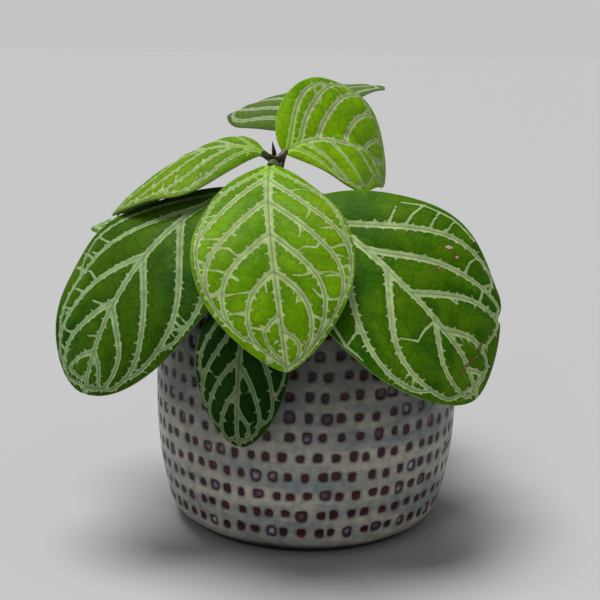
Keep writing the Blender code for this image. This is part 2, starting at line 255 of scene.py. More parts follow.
def glazed_ground(tree, place):
    """Grey-green with cool and warm clouds, which the turning wheel has drawn out sideways."""
    drawn_out = node(tree, "ShaderNodeMapping", Vector=place, Scale=(28, 28, 110)).outputs[0]
    cool = ramped(tree, mottle(tree, place, 75, 4), 0.38, 0.62)
    ground = mixed(tree, cool, (0.300, 0.305, 0.262), (0.205, 0.238, 0.243))
    warm = ramped(tree, mottle(tree, drawn_out, 1.0, 4), 0.44, 0.62, 0.0, 0.8)
    ground = mixed(tree, warm, ground, (0.470, 0.445, 0.355))
    rinsed = ramped(tree, mottle(tree, drawn_out, 2.3, 3), 0.50, 0.70, 0.0, 0.55)
    ground = mixed(tree, rinsed, ground, (0.215, 0.250, 0.270))
    cloud = ramped(tree, mottle(tree, place, 420, 3), 0.30, 0.75, 0.78, 1.15)
    grey_cloud = node(tree, "ShaderNodeCombineColor", In0=cloud, In1=cloud, In2=cloud).outputs[0]
    return mixed(tree, 1.0, ground, grey_cloud, "MULTIPLY")


def dot_pools(tree, place):
    """Dark glass in the dots, from red-brown to plum, with lilac milk in the wide ones."""
    milk = kept(tree, "milk")
    rusty = ramped(tree, mottle(tree, place, 160, 2), 0.38, 0.62)
    pool = mixed(tree, rusty, (0.026, 0.007, 0.013), (0.058, 0.009, 0.008))
    lilac = mixed(tree, ramped(tree, milk, 0.05, 0.70), (0.055, 0.028, 0.075), (0.310, 0.305, 0.365))
    violet = ramped(tree, mottle(tree, place, 130, 2), 0.42, 0.60, 0.15, 1.0)
    return mixed(tree, times(tree, ramped(tree, milk, 0.0, 0.12), violet), pool, lilac)


def stoneware_glaze():
    made, tree, shader, place = finish("stoneware_glaze_mottled", 0.33, 0.20)
    ragged = sum_of(tree, kept(tree, "dot_edge"), wavering(tree, place, 700, 2, 0.22))
    halo = ramped(tree, ragged, 0.0, 0.75, 0.55, 0.0)
    ground = mixed(tree, halo, glazed_ground(tree, place), (0.080, 0.066, 0.070))
    coloured = mixed(tree, ramped(tree, ragged, -0.16, 0.14, 1.0, 0.0), ground, dot_pools(tree, place))
    height = node(tree, "ShaderNodeSeparateXYZ", Vector=place).outputs["Z"]
    height = sum_of(tree, height, wavering(tree, place, 60, 3, 0.003))
    # Darker towards the rim: painted shade from the leaves over the upper wall.
    painted_leaf_shade = ramped(tree, height, 0.022, 0.060)
    coloured = mixed(tree, painted_leaf_shade, coloured, (0.34, 0.33, 0.315), "MULTIPLY")
    # Near black in the lowest millimetres: the unglazed dark foot, deepened by painted contact shadow.
    dark_foot_and_shadow = ramped(tree, height, 0.0020, 0.0048, 1.0, 0.0)
    coloured = mixed(tree, dark_foot_and_shadow, coloured, (0.014, 0.012, 0.011))
    satin = ramped(tree, mottle(tree, place, 130, 3), 0.3, 0.7, 0.24, 0.42)
    roughness = sum_of(tree, satin, times(tree, dark_foot_and_shadow, 0.4))
    tuned(tree, shader, Coat_Weight=0.05, Coat_Roughness=0.16, Roughness=roughness)
    specks = times(tree, mottle(tree, place, 1300, 2), 0.18)
    coated(tree, shader, coloured, sum_of(tree, mottle(tree, place, 170, 3), specks), 0.25, 0.0006)
    return made


def settle(piece, materials, slot, *nodes):
    """The finished piece takes its materials, rides on the one body and stands for its solids."""
    for material in materials:
        piece.data.materials.append(material)
    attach(piece, "root")
    if nodes:
        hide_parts(*nodes)
    bpy.ops.object.select_all(action="DESELECT")


settle(throw_pot(), [stoneware_glaze()], "stoneware_glaze", "pot")


# The soil is dark moist potting mix, crumbly on top, pressed down a little round the wall.
# Flakes of bark and a few pale grains of perlite lie on it.
SOIL_TOP = 0.060
SOIL_RADIUS = RIM_RADIUS - POT_WALL - 0.0003
SOIL_EDGE_DEPTH = 0.012
SOIL_BODY_DEPTH = 0.041
SOIL_FOOT_SHARE = 0.77
SOIL_CELLS = 108
LUMP_WAVES = ((0.020, 0.0006), (0.009, 0.0005), (0.0042, 0.00045), (0.0021, 0.0003))
BARK_FLAKES = 230
PERLITE_GRAINS = 46


def crumbly_soil():
    bpy.ops.mesh.primitive_grid_add(x_subdivisions=SOIL_CELLS, y_subdivisions=SOIL_CELLS, size=2)
    soil = bpy.context.object
    soil.name = "potting_mix"
    place = np.zeros(len(soil.data.vertices) * 3, np.float32)
    soil.data.vertices.foreach_get("co", place)
    place = place.reshape(-1, 3).astype(float)
    x, y = place[:, 0].copy(), place[:, 1].copy()
    disc_x = x * np.sqrt(1 - y * y / 2) * SOIL_RADIUS
    disc_y = y * np.sqrt(1 - x * x / 2) * SOIL_RADIUS
    out = np.hypot(disc_x, disc_y) / SOIL_RADIUS
    lumps = np.zeros(len(place))
    draw = np.random.default_rng(5)
    for wave, size in LUMP_WAVES:
        for _ in range(7):
            heading, phase = draw.uniform(0, math.tau, 2)
            run = disc_x * math.cos(heading) + disc_y * math.sin(heading)
            lumps += size * 0.42 * np.sin(run * math.tau / wave / draw.uniform(0.7, 1.3) + phase)
    place[:, 0], place[:, 1] = disc_x, disc_y
    place[:, 2] = SOIL_TOP + np.clip(lumps, -0.0012, 0.0014) - 0.0014 * out ** 8
    soil.data.vertices.foreach_set("co", place.reshape(-1).astype(np.float32))
    bpy.ops.object.mode_set(mode="EDIT")
    bpy.ops.mesh.select_all(action="SELECT")
    bpy.ops.mesh.region_to_loop()
    bpy.ops.mesh.extrude_edges_move(TRANSFORM_OT_translate={"value": (0, 0, -SOIL_EDGE_DEPTH)})
    bpy.ops.mesh.extrude_edges_move(TRANSFORM_OT_translate={"value": (0, 0, -SOIL_BODY_DEPTH)})
    bpy.ops.transform.resize(value=(SOIL_FOOT_SHARE, SOIL_FOOT_SHARE, 1), center_override=(0, 0, 0))
    bpy.ops.mesh.edge_face_add()
    bpy.ops.mesh.select_all(action="SELECT")
    bpy.ops.mesh.normals_make_consistent(inside=False)
    bpy.ops.object.mode_set(mode="OBJECT")
    return soil


def scattered(name, count, seed, sizes, flatness):
    """Loose bits on the soil, each a lumpy pebble of its own shape, joined into one piece."""
    draw = random.Random(seed)
    bits = []
    for _ in range(count):
        reach = math.sqrt(draw.random()) * (SOIL_RADIUS - 0.003)
        turn = draw.uniform(0, math.tau)
        size = draw.uniform(*sizes)
        bpy.ops.mesh.primitive_ico_sphere_add(subdivisions=1, radius=size)
        bit = bpy.context.object
        bit.scale = (draw.uniform(0.7, 1.6), draw.uniform(0.6, 1.0), draw.uniform(*flatness))
        bit.rotation_euler = (draw.uniform(-0.5, 0.5), draw.uniform(-0.5, 0.5), draw.uniform(0, math.tau))
        bit.location = (reach * math.cos(turn), reach * math.sin(turn), SOIL_TOP + 0.0006 + 0.3 * size)
        for vertex in bit.data.vertices:
            vertex.co *= draw.uniform(0.78, 1.12)
        bits.append(bit)
    bpy.ops.object.select_all(action="DESELECT")
    for bit in bits:
        bit.select_set(True)
    bpy.context.view_layer.objects.active = bits[0]
    bpy.ops.object.join()
    bpy.ops.object.transform_apply(location=True, rotation=True, scale=True)
    heap = bpy.context.object
    heap.name = name
    return heap


def earth(name, dark, light, roughness):
    made, tree, shader, place = finish(name, roughness, 0.25)
    patches = ramped(tree, mottle(tree, place, 260, 4), 0.35, 0.68)
    grains = ramped(tree, mottle(tree, place, 1700, 3), 0.40, 0.66)
    coloured = mixed(tree, grains, mixed(tree, patches, dark, light), shade(dark, 0.35))
    coated(tree, shader, coloured, mottle(tree, place, 1500, 4, 0.7), 0.7, 0.0006)
    return made


potting_mix = earth("moist_potting_mix", (0.016, 0.010, 0.007), (0.046, 0.029, 0.018), 0.9)
settle(crumbly_soil(), [potting_mix], "potting_soil", "soil")
damp_bark = earth("damp_bark", (0.028, 0.014, 0.008), (0.085, 0.048, 0.026), 0.85)
bark = scattered("bark_flakes", BARK_FLAKES, 21, (0.0007, 0.0017), (0.25, 0.6))
settle(bark, [damp_bark], "potting_soil")
pale_grain = earth("perlite", (0.42, 0.40, 0.36), (0.60, 0.58, 0.53), 0.8)
perlite = scattered("perlite_grains", PERLITE_GRAINS, 22, (0.0005, 0.0011), (0.6, 1.0))
settle(perlite, [pale_grain], "potting_soil")


# The stems are soft and square-shouldered, brownish green, with a swollen ring at each pair of leaves.
# They root in the soil. The main stem leans to the left as it rises, and a young shoot stands behind it.
# From here on sizes are in millimetres, until a point is placed.
MAIN_STEM = {"foot": (-3, 4), "top": (-10.5, 0), "height": 107.6, "radius": (1.9, 1.15)}
SIDE_SHOOT = {"foot": (13, 26), "top": (15, 30), "height": 76, "radius": (1.3, 0.9)}
SOIL_LEVEL = 60
STEM_ROOT = 48
STEM_BOW = 1.2
STEM_SIDES = 24
STEM_ROWS = 120
STEM_SHOULDER = 0.499
RING_WIDTH = 1.3
RING_SWELL = 0.14


def stem_point(stem, height):
    rise = (height - SOIL_LEVEL) / (stem["height"] - SOIL_LEVEL)
    bow = math.sin(max(0.0, rise) * math.pi) * STEM_BOW
    x = stem["foot"][0] + (stem["top"][0] - stem["foot"][0]) * rise
    y = stem["foot"][1] + (stem["top"][1] - stem["foot"][1]) * rise + bow
    return Vector((x, y, height)) / 1000


def stem_radius(stem, height):
    rise = max(0.0, (height - SOIL_LEVEL) / (stem["height"] - SOIL_LEVEL))
    low, high = stem["radius"]
    return (low + (high - low) * rise) / 1000


def cut_rings(heights):
    """Cuts the piece that has just been added across at each height, so that it has rings to bend."""
    bpy.ops.object.mode_set(mode="EDIT")
    for height in heights:
        bpy.ops.mesh.select_all(action="SELECT")
        bpy.ops.mesh.bisect(plane_co=(0, 0, height), plane_no=(0, 0, 1))
    bpy.ops.object.mode_set(mode="OBJECT")


def grow_stem(name, stem, joints):
    bpy.ops.mesh.primitive_cylinder_add(vertices=STEM_SIDES, radius=1, depth=1, end_fill_type="TRIFAN")
    piece = bpy.context.object
    piece.name = name
    cut_rings([STEM_SHOULDER] + [row / STEM_ROWS - 0.5 for row in range(1, STEM_ROWS)])
    for vertex in piece.data.vertices:
        height = STEM_ROOT + (stem["height"] - STEM_ROOT) * (vertex.co.z + 0.5)
        turn = math.atan2(vertex.co.y, vertex.co.x)
        ring = max([math.exp(-((height - joint) / RING_WIDTH) ** 2) for joint in joints])
        squareness = 0.05 * math.cos(4 * turn)
        wander = 0.03 * math.sin(height * 1.9 + turn * 2)
        width = stem_radius(stem, height) * (1 + RING_SWELL * ring + squareness + wander)
        reach = math.hypot(vertex.co.x, vertex.co.y)
        vertex.co = stem_point(stem, height) + Vector((math.cos(turn), math.sin(turn), 0)) * width * reach
    bpy.ops.object.shade_smooth()
    return piece


def stem_skin(name, green, brown, browned_from, browned_to):
    made, tree, shader, place = finish(name, 0.55, 0.35)
    streaks = node(tree, "ShaderNodeMapping", Vector=place, Scale=(900, 900, 130)).outputs[0]
    browned = ramped(tree, mottle(tree, streaks, 1.0, 3), browned_from, browned_to)
    coated(tree, shader, mixed(tree, browned, green, brown), mottle(tree, streaks, 1.6, 3), 0.35, 0.0004)
    return made


brown_stem = stem_skin("main_stem_green_brown", (0.09, 0.10, 0.025), (0.055, 0.026, 0.014), 0.33, 0.58)
main_stem = grow_stem("main_stem_skin", MAIN_STEM, (105.5, 96, 83, 70))
settle(main_stem, [brown_stem], "green_brown_stem", "main_stem")
green_stem = stem_skin("side_shoot_green", (0.13, 0.20, 0.04), (0.09, 0.06, 0.025), 0.48, 0.75)
side_shoot = grow_stem("side_shoot_skin", SIDE_SHOOT, (74, 68.5))
settle(side_shoot, [green_stem], "green_brown_stem", "side_shoot")


# The buds are the next leaves, still folded: narrow scales pressed together to a dark point.
# One grows out of the top of each stem, between its youngest leaves.
BUD_SIDES = 16
BUD_RINGS = 14
BUD_POINT = 0.12


def fold_bud(name, stem, length, radius):
    bpy.ops.mesh.primitive_cone_add(
        vertices=BUD_SIDES, radius1=radius, radius2=radius * BUD_POINT, depth=length,
    )
    bud = bpy.context.object
    bud.name = name
    cut_rings([length * (ring / BUD_RINGS - 0.5) for ring in range(1, BUD_RINGS)])
    foot = stem_point(stem, stem["height"])
    lean = (foot - stem_point(stem, stem["height"] - 1)).normalized()
    turned = lean.to_track_quat("Z", "Y").to_matrix()
    for vertex in bud.data.vertices:
        share = min(1, max(0, vertex.co.z / length + 0.5))
        turn = math.atan2(vertex.co.y, vertex.co.x)
        belly = 1 + 0.35 * math.sin(math.pi * share ** 0.8) - 0.16 * abs(math.sin(turn))
        vertex.co.x *= belly
        vertex.co.y *= belly
        vertex.co = foot + turned @ (vertex.co + Vector((0, 0, length / 2 + 0.0003)))
    bpy.ops.object.shade_smooth()
    return bud


def bud_skin():
    made, tree, shader, place = finish("dark_bud_scales", 0.6, 0.3)
    streaks = node(tree, "ShaderNodeMapping", Vector=place, Scale=(1400, 1400, 260)).outputs[0]
    dried = ramped(tree, mottle(tree, streaks, 1.0, 2), 0.4, 0.65)
    coloured = mixed(tree, dried, (0.018, 0.010, 0.007), (0.060, 0.036, 0.018))
    coated(tree, shader, coloured, mottle(tree, streaks, 2.0, 2), 0.4, 0.0003)
    return made


dark_scales = bud_skin()
settle(fold_bud("tip_bud_scales", MAIN_STEM, 0.0042, 0.0007), [dark_scales], "dark_bud", "tip_bud")
settle(fold_bud("side_bud_scales", SIDE_SHOOT, 0.0035, 0.0006), [dark_scales], "dark_bud", "side_bud")


# The front leaf of the upper pair faces the viewer, young and yellow-green. As on every leaf, a pale band
# runs along each vein, with a fine grey groove in its middle and thorny veinlets reaching into the green.
# Blade and stalk grew as one: a short stalk comes out of the stem's side and runs on as the midrib.
BLADE_HABIT = {
    "turn": 0, "curl": 0, "spring": 0, "roll": 0, "twist": 0, "fold": 6, "camber": 18, "peak": 0.5,
    "base_power": 0.75, "tip_power": 0.68, "wave": 0.7, "waves": 2.5, "phase": 0.0, "stalk_rise": 0.3,
    "left_reach": 1.0, "right_reach": 1.0, "cell": 0.45, "midrib": 1.4, "lateral": 0.85, "quilt": 0.28,
    "links": 0.5, "rungs": 0.7, "join": 0.62, "thorn_step": 3.0, "web": 0, "seed": 1,
    "sway": ((0, 0), (1, 0)), "veinlets": (), "scars": (), "notch": (0.5, 0, 0),
    "left": ((0.04, 0.92, 0.40, 1.9), (0.16, 0.92, 0.64, 1.8), (0.31, 0.88, 0.78, 1.6),
             (0.48, 0.78, 0.90, 1.5), (0.66, 0.62, 0.95, 1.4), (0.82, 0.46, 0.96, 1.2)),
    "right": ((0.05, 0.92, 0.38, 1.9), (0.18, 0.93, 0.66, 1.7), (0.34, 0.87, 0.80, 1.6),
              (0.50, 0.76, 0.91, 1.5), (0.68, 0.60, 0.95, 1.4), (0.83, 0.44, 0.97, 1.2)),
}
BLADE_DEPTH = 0.5
BLADE_LIFT = 0.35
STALK_RADIUS = 1.0
STALK_OVERLAP = 0.0012
STALK_SUNK_IN = 0.0002
MIDRIB_TIP_RADIUS = 0.5
MIDRIB_STEPS = 400
RIB_WIDTH = 0.9
SWAY_WINDOW = 19
LATERAL_POINTS = 26
ARCH_POINTS = 9
LINK_PLACES = (0.28, 0.40, 0.52, 0.64, 0.76, 0.88)
LINK_WIDTH = 0.36
BROKEN_LINK_WIDTH = 0.34
THORN_KINDS = ((0.74, 0.8, 1.4, 0.40, 0.1), (0.92, 1.4, 2.4, 0.36, 0.5), (1.0, 2.4, 3.8, 0.34, 0.6))
LONG_THORN = 3.0
VEINLET_WIDTH = 0.42
WEB_WIDTH = 0.40
VEIN_REACH = 3.0
GROOVE_REACH = 8.0
GROOVE_WIDTH = 0.35
GROOVE_DEPTH = 0.10
BAND_HEIGHT = 0.06
PILLOW_SPAN = 2.4
FLAT_MARGIN = 2.5
WEBBING = 0.3
BITE_SPAN = 0.013
BULGE_SPAN = 0.045


def level_direction(degrees):
    return Vector((math.cos(math.radians(degrees)), math.sin(math.radians(degrees)), 0))


def blade_half(leaf, t):
    swell = np.clip(np.sin(np.pi * t ** (math.log(0.5) / math.log(leaf["peak"]))), 0, 1)
    return leaf["width"] / 2 * swell ** np.where(t < leaf["peak"], leaf["base_power"], leaf["tip_power"])


def midrib_sway(leaf, t):
    """Millimetres that the midrib strays to the left, smoothed between the given places."""
    places, strays = np.array(leaf["sway"], float).T
    fine = np.linspace(-0.2, 1.2, 141)
    window = np.hanning(SWAY_WINDOW) / np.hanning(SWAY_WINDOW).sum()
    return np.interp(t, fine, np.convolve(np.interp(fine, places, strays), window, "same"))


def blade_climb(leaf, t):
    """The midrib's angle above the level, in radians, as it springs from the stalk, droops and curls."""
    spring = leaf["spring"] * (1 - t) ** 8
    return np.radians(leaf["climb"] + spring - leaf["droop"] * t - leaf["curl"] * t ** 3)


def on_blade(leaf, t, share):
    """A place on the flat blade, in millimetres along it and to the left of its middle line."""
    t = np.clip(t, 0.002, 0.998)
    reach = np.where(share > 0, leaf["left_reach"], leaf["right_reach"])
    across = share * reach * blade_half(leaf, t) + midrib_sway(leaf, t) * (1 - np.abs(share))
    return np.stack([t * leaf["length"], across], -1)


def share_of(leaf, point):
    """How far out on the blade a flat place lies, from the middle line at 0 to the margin at 1."""
    half = float(blade_half(leaf, np.clip(point[0] / leaf["length"], 0.01, 0.99)))
    return abs(point[1]) / (half * leaf["left_reach" if point[1] > 0 else "right_reach"])


def crooked(draw, start, heading, length, width, kink):
    """A veinlet that runs out crookedly and thins to a point."""
    points = [start]
    turn = heading
    steps = max(1, round(length / 0.9))
    for _ in range(steps):
        points.append(points[-1] + np.array((math.cos(turn), math.sin(turn))) * length / steps)
        turn += draw.gauss(0, kink)
    return np.array(points), np.linspace(width, -0.03, steps + 1)


def lateral_veins(leaf, side, sign):
    """One half's veins: where each leaves the midrib, how far out it goes, where it ends, how it bows."""
    p = np.linspace(0, 1, LATERAL_POINTS)
    laterals = []
    for start, reach, end, bow in leaf[side]:
        wobble = 0.012 * np.sin(p * 9 + start * 50) * np.sin(np.pi * p)
        share = reach * (1 - (1 - p) ** bow) + wobble
        width = leaf["lateral"] * (1.12 - 0.55 * p) * min(1, 0.75 + (end - start) * 0.8)
        laterals.append((on_blade(leaf, start + (end - start) * p, sign * share), width))
    return laterals


def margin_arches(leaf, side, sign):
    """Every lateral runs on along the margin into a later one, and the last of them into the tip."""
    q = np.linspace(0, 1, ARCH_POINTS)
    arches = []
    for index, (_, reach, end, _) in enumerate(leaf[side]):
        later = [other for other in leaf[side][index + 1:] if other[2] > end + 0.03]
        start, next_reach, next_end, bow = later[0] if later else (0, 0, 0.985, 1)
        meeting = end + leaf["join"] * (next_end - end)
        share = next_reach * (1 - (1 - (meeting - start) / (next_end - start)) ** bow)
        line = on_blade(leaf, end + (meeting - end) * q, sign * (reach + (share - reach) * q ** 2.2))
        arches.append((line, leaf["lateral"] * np.linspace(0.55, 0.42, ARCH_POINTS)))
    return arches


def links_between(leaf, draw, outer, inner):
    """Fine veins straight across the green from one main vein to the next, some broken in the middle."""
    links = []
    for place in LINK_PLACES:
        if draw.random() > leaf["links"]:
            continue
        first = outer[int((place + draw.uniform(-0.05, 0.05)) * (LATERAL_POINTS - 1))]
        level = first[0] + draw.uniform(-1.6, 0.8)
        second = inner[int(np.abs(inner[:, 0] - level).argmin())]
        reach = np.hypot(*(second - first))
        if first[0] < 0.2 * leaf["length"] or abs(second[0] - level) > 0.8 or not 1.8 < reach < 9:
            continue
        crook = first + (second - first) * draw.uniform(0.35, 0.65) + np.array((draw.uniform(-1.0, 1.0), 0))
        if reach > 4 and draw.random() < 0.35:
            width = np.array([BROKEN_LINK_WIDTH, 0.0])
            links.append((np.array([first, crook]), width))
            links.append((np.array([second, second + (crook - second) * 0.5]), width))
        else:
            links.append((np.array([first, crook, second]), np.array([LINK_WIDTH, 0.19, LINK_WIDTH])))
    return links


def margin_rungs(leaf, draw, sign, line):
    """Short rungs from an outer vein towards the margin."""
    rungs = []
    for index in range(8, LATERAL_POINTS, 3):
        out = share_of(leaf, line[index])
        if not 0.62 < out < 0.93 or draw.random() > leaf["rungs"]:
            continue
        if line[index][0] < 0.15 * leaf["length"]:
            continue
        heading = sign * (math.pi / 2 - draw.uniform(-0.1, 0.5))
        length = (1 - out) * leaf["width"] / 2 * draw.uniform(0.8, 1.0) + 0.4
        rungs.append(crooked(draw, line[index], heading, length, LINK_WIDTH, 0.25))
    return rungs


def thorns(leaf, draw, line, width):
    """Small forward-pointing thorns on both edges of a vein, some drawn out into crooked veinlets.

    Each kind has the draw that it is taken below, its shortest and longest, its half width and its kink.
    """
    run = np.concatenate([[0], np.cumsum(np.hypot(*(line[1:] - line[:-1]).T))])
    made = []
    for hand in (-1, 1):
        place = draw.uniform(1.0, 3.5)
        while place < run[-1] - 0.8:
            point = np.array([np.interp(place, run, line[:, k]) for k in (0, 1)])
            ahead = np.array([np.interp(place + 0.5, run, line[:, k]) for k in (0, 1)]) - point
            half = float(np.interp(place, run, width))
            heading = math.atan2(ahead[1], ahead[0]) + hand * draw.uniform(0.95, 1.4)
            start = point + np.array((math.cos(heading), math.sin(heading))) * half * 0.7
            chance = draw.random()
            _, shortest, longest, thick, kink = next(kind for kind in THORN_KINDS if chance < kind[0])
            if longest < LONG_THORN or leaf["links"] > 0.2:
                length = 0.3 * half + draw.uniform(shortest, longest)
                made.append(crooked(draw, start, heading, length, thick, kink))
            place += leaf["thorn_step"] * draw.uniform(0.65, 1.35)
    return made


def joined(point, veins, reach):
    """The nearest place on a main vein, or the point itself where none is within reach."""
    places = np.concatenate([line for line, _ in veins])
    gaps = np.hypot(*(places - point).T)
    return places[gaps.argmin()] if gaps.min() < reach else point


def vein_net(leaf):
    """The main veins and the fine ones, each as its line on the flat blade and its half width there."""
    draw = random.Random(leaf["seed"])
    t = np.linspace(0, 1, 60)
    main = [(on_blade(leaf, t, 0 * t), leaf["midrib"] * (1 - 0.58 * t ** 0.8))]
    fine = []
    for side, sign in (("left", 1), ("right", -1)):
        laterals = lateral_veins(leaf, side, sign)
        main += laterals + margin_arches(leaf, side, sign)
        for (outer, _), (inner, _) in zip(laterals, laterals[1:]):
            fine += links_between(leaf, draw, outer, inner)
        for line, _ in laterals[:4]:
            fine += margin_rungs(leaf, draw, sign, line)
    for line, width in main:
        fine += thorns(leaf, draw, line, width)
    for places in leaf["veinlets"]:
        points = [on_blade(leaf, along, np.array(out)) for along, out in places]
        points[0] = joined(points[0], main, 3.0)
        points[-1] = joined(points[-1], main, 1.4)
        fine.append((np.array(points), np.linspace(VEINLET_WIDTH, 0.22, len(points))))
    for _ in range(leaf["web"]):
        start = on_blade(leaf, draw.uniform(0.87, 0.975), np.array(draw.uniform(-0.75, 0.75)))
        heading = draw.choice((-1, 1)) * draw.uniform(0.5, 1.7)
        fine.append(crooked(draw, start, heading, draw.uniform(1.2, 2.6), WEB_WIDTH, 0.6))
    return main, fine


def scar_lines(leaf):
    """Short strokes on the flat blade where it has dried up, with their half widths."""
    lines = []
    for places, width in leaf["scars"]:
        points = [on_blade(leaf, along, np.array(out)) for along, out in places]
        lines.append((np.array(points), np.full(len(points), width)))
    return lines


def vein_distance(leaf, t, across, veins, reach):
    """Millimetres to the edge of the nearest vein, below zero inside it, with webbed junctions."""
    along = t * leaf["length"]
    best = np.full(across.shape, reach)
    for line, width in veins:
        first = max(0, np.searchsorted(along, line[:, 0].min() - reach) - 1)
        last = np.searchsorted(along, line[:, 0].max() + reach) + 1
        own = np.full(best[first:last].shape, reach)
        for start, end, low, high in zip(line[:-1], line[1:], width[:-1], width[1:]):
            near = max(first, np.searchsorted(along, min(start[0], end[0]) - reach) - 1)
            far = min(last, np.searchsorted(along, max(start[0], end[0]) + reach) + 1)
            u = along[near:far, None] - start[0]
            v = across[near:far] - start[1]
            step = end - start
            share = np.clip((u * step[0] + v * step[1]) / (step @ step + 1e-9), 0, 1)
            distance = np.hypot(u - share * step[0], v - share * step[1]) - (low + (high - low) * share)
            own[near - first:far - first] = np.minimum(own[near - first:far - first], distance)
        old = best[first:last]
        weight = np.clip(0.5 + 0.5 * (old - own) / WEBBING, 0, 1)
        best[first:last] = old + (own - old) * weight - WEBBING * weight * (1 - weight)
    return best


def blade_reach(leaf, t, share):
    """The half width of each half of the blade, with its bite and its bulge in the left margin."""
    reach = np.where(share > 0, leaf["left_reach"], leaf["right_reach"])
    half = np.maximum(blade_half(leaf, t), 0.35)[:, None] * reach[None]
    notch, bite, bulge = leaf["notch"]
    bitten = bite * np.exp(-((t - notch) / BITE_SPAN) ** 2)
    bitten = bitten - bulge * np.exp(-((t - notch + BULGE_SPAN) / BULGE_SPAN) ** 2)
    return half - bitten[:, None] * (share > 0)[None]


def blade_frame(leaf, t):
    """The direction along the midrib, and the level direction to its left."""
    climb = blade_climb(leaf, t)
    heading = np.radians(leaf["heading"] + leaf["turn"] * t)
    ahead = np.stack([np.cos(climb) * np.cos(heading), np.cos(climb) * np.sin(heading), np.sin(climb)], -1)
    level = np.stack([-np.sin(heading), np.cos(heading), 0 * heading], -1)
    return ahead, level


def midrib_line(leaf, t):
    """Places on the midrib, summed up in short steps from the blade's base."""
    ahead, _ = blade_frame(leaf, (np.arange(MIDRIB_STEPS) + 0.5) / MIDRIB_STEPS)
    run = np.vstack([[0, 0, 0], np.cumsum(ahead, 0)]) * leaf["length"] / MIDRIB_STEPS
    ends = np.linspace(0, 1, MIDRIB_STEPS + 1)
    return np.stack([np.interp(t, ends, run[:, k]) for k in range(3)], -1) + leaf["base"]


def arched(leaf, t, share, half):
    """How far each place lies out from the midrib and above it, by the fold, the camber and the waves."""
    fold, camber = math.radians(leaf["fold"]), math.radians(leaf["camber"])
    sign = np.where(share < 0, -1, 1)
    slope = fold - camber * np.abs(share)
    out = half * (sign * (math.sin(fold) - np.sin(slope)) / camber)[None]
    lift = half * ((np.cos(slope) - math.cos(fold)) / camber)[None]
    ripple = np.sin(math.tau * (leaf["waves"] * t[:, None] + leaf["phase"] + 0.2 * sign[None]))
    return out, lift + leaf["wave"] * (share ** 2)[None] * ripple * np.sin(np.pi * t)[:, None]


def thicken(blade, depth):
    """Gives the blade its lower face, as deep below each point as the depth says."""
    deepest = float(depth.max())
    shares = np.round(depth / deepest, 2).T.reshape(-1)
    group = blade.vertex_groups.new(name="depth")
    for share in np.unique(shares):
        group.add(np.where(shares == share)[0].tolist(), float(share), "REPLACE")
    thick = blade.modifiers.new("thickness", "SOLIDIFY")
    thick.thickness = deepest / 1000
    thick.offset = -1
    thick.vertex_group = "depth"
    thick.material_offset = 1
    bpy.ops.object.modifier_apply(modifier=thick.name)


def bend_blade(name, leaf):
    """A flat grid bent into the blade's form, with its vein distances kept on its points."""
    rows = round(leaf["length"] / leaf["cell"])
    columns = round(leaf["width"] / leaf["cell"])
    bpy.ops.mesh.primitive_grid_add(x_subdivisions=rows, y_subdivisions=columns, size=1)
    blade = bpy.context.object
    blade.name = name
    t = 0.5 - 0.5 * np.cos(np.pi * (0.012 + 0.976 * np.linspace(0, 1, rows + 1)))
    t = 0.35 * t + 0.65 * np.linspace(0.0015, 0.9985, rows + 1)
    share = np.linspace(-1, 1, columns + 1)
    half = blade_reach(leaf, t, share)
    flat = half * share[None]
    rim = half * (1 - np.abs(share))[None]
    main, fine = vein_net(leaf)
    grooves = [(line, width * 0) for line, width in main]
    ridge = vein_distance(leaf, t, flat, grooves, GROOVE_REACH)
    band = vein_distance(leaf, t, flat, main + fine, VEIN_REACH)
    scar = vein_distance(leaf, t, flat, scar_lines(leaf), VEIN_REACH)
    ahead, level = blade_frame(leaf, t)
    roll = np.radians(leaf["roll"] + leaf["twist"] * t)[:, None]
    side = level * np.cos(roll) + np.cross(ahead, level) * np.sin(roll)
    upper = np.cross(ahead, side)
    out, lift = arched(leaf, t, share, half)
    pillows = 1 - np.exp(-(ridge / PILLOW_SPAN) ** 2)
    lift = lift + BLADE_LIFT + leaf["quilt"] * (np.clip(rim / FLAT_MARGIN, 0, 1) * pillows - 0.5)
    lift = lift - GROOVE_DEPTH * np.exp(-(ridge / GROOVE_WIDTH) ** 2)
    lift = lift + BAND_HEIGHT * np.clip(band, -0.4, 0.4)
    place = midrib_line(leaf, t)[:, None] + side[:, None] * out[..., None]
    place = (place + upper[:, None] * lift[..., None]).transpose(1, 0, 2) / 1000
    blade.data.vertices.foreach_set("co", place.reshape(-1).astype(np.float32))
    from_base = np.repeat((t * leaf["length"])[:, None], columns + 1, 1)
    kept_numbers = {"band": band, "groove": ridge, "rim": rim, "scar": scar, "from_base": from_base}
    for label, values in kept_numbers.items():
        keep(blade, label, values.T)
    rib = STALK_RADIUS + (MIDRIB_TIP_RADIUS - STALK_RADIUS) * t
    rib_depth = np.maximum(0, rib[:, None] + 0.1 - BLADE_DEPTH / 2)
    thicken(blade, BLADE_DEPTH + rib_depth * np.exp(-(flat / RIB_WIDTH) ** 2))
    bpy.ops.object.shade_smooth()
    return blade


